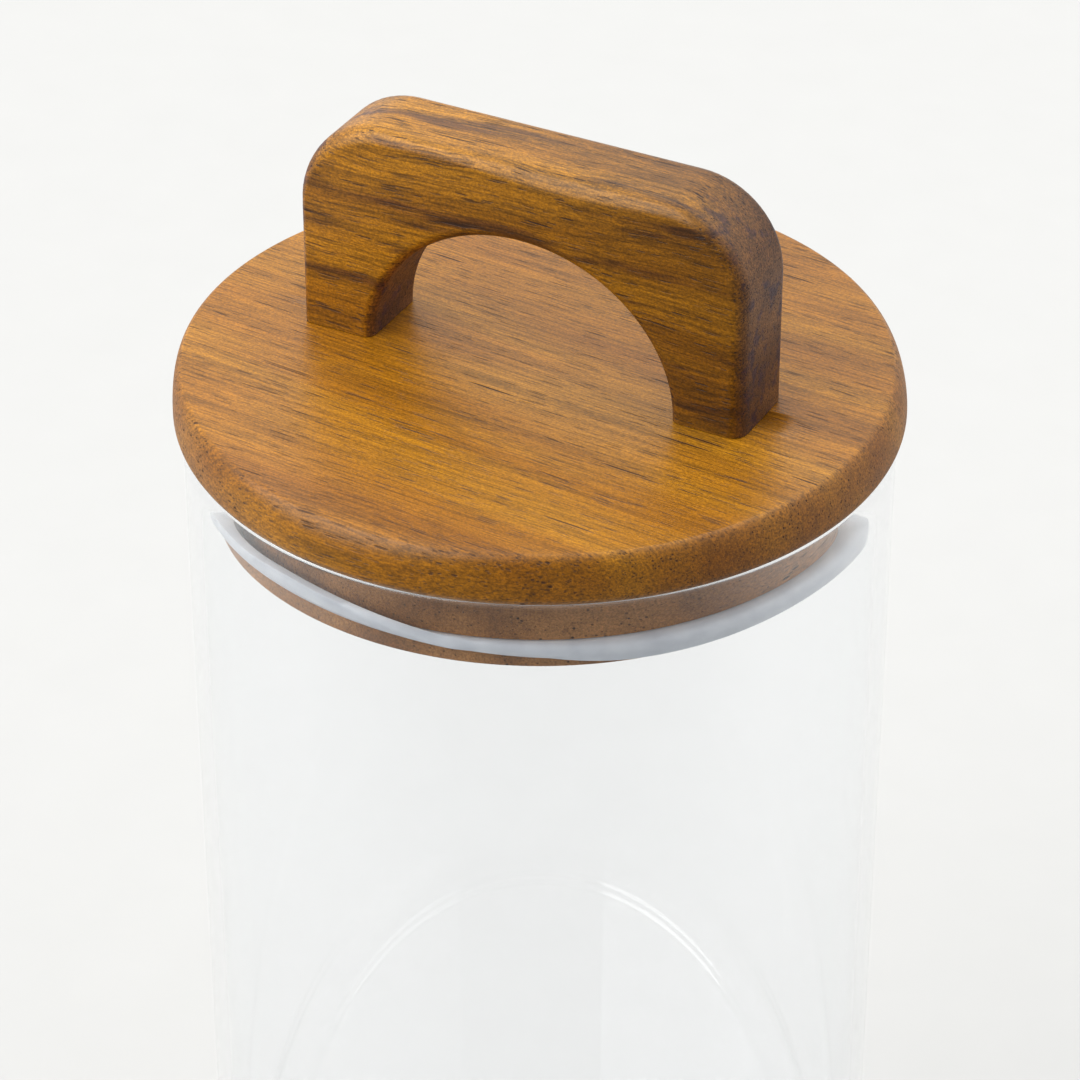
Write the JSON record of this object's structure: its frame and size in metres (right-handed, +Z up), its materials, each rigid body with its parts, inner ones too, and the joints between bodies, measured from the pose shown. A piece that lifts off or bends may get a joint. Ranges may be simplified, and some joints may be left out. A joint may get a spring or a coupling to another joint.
{
  "type": "food canister",
  "caption": "Clear cylindrical glass storage jar with a push-in wooden lid, silicone sealing ring and arched wooden handle.",
  "frame": {"origin": "centre of the jar's base, on the surface it stands on", "axes": "+Z up along the jar's axis, X along the length of the handle on the lid"},
  "size_m": [0.12, 0.12, 0.2712],
  "materials": {
    "clear_glass": "polished clear glass",
    "milky_silicone": "smooth translucent milky silicone",
    "disc_wood": "satin oiled hardwood, fine straight grain",
    "plug_wood": "satin oiled hardwood, turned side",
    "handle_wood": "satin oiled hardwood, wavy grain",
    "screw_steel": "plain stainless steel"
  },
  "bodies": {
    "jar": {"glass_jar": "clear_glass"},
    "seal": {"sealing_ring": "milky_silicone"},
    "lid": {"lid_disc": "disc_wood", "lid_plug": "plug_wood", "lid_handle": "handle_wood", "handle_screw_left": "screw_steel", "handle_screw_right": "screw_steel"}
  },
  "joints": [
    {"name": "lid_lift", "type": "slide", "parent": "jar", "child": "seal", "axis": [0, 0, 1], "range_m": [0, 0.05]},
    {"name": "lid_turn", "type": "hinge", "parent": "seal", "child": "lid", "pos_m": [0, 0, 0.214], "axis": [0, 0, 1], "continuous": true}
  ]
}
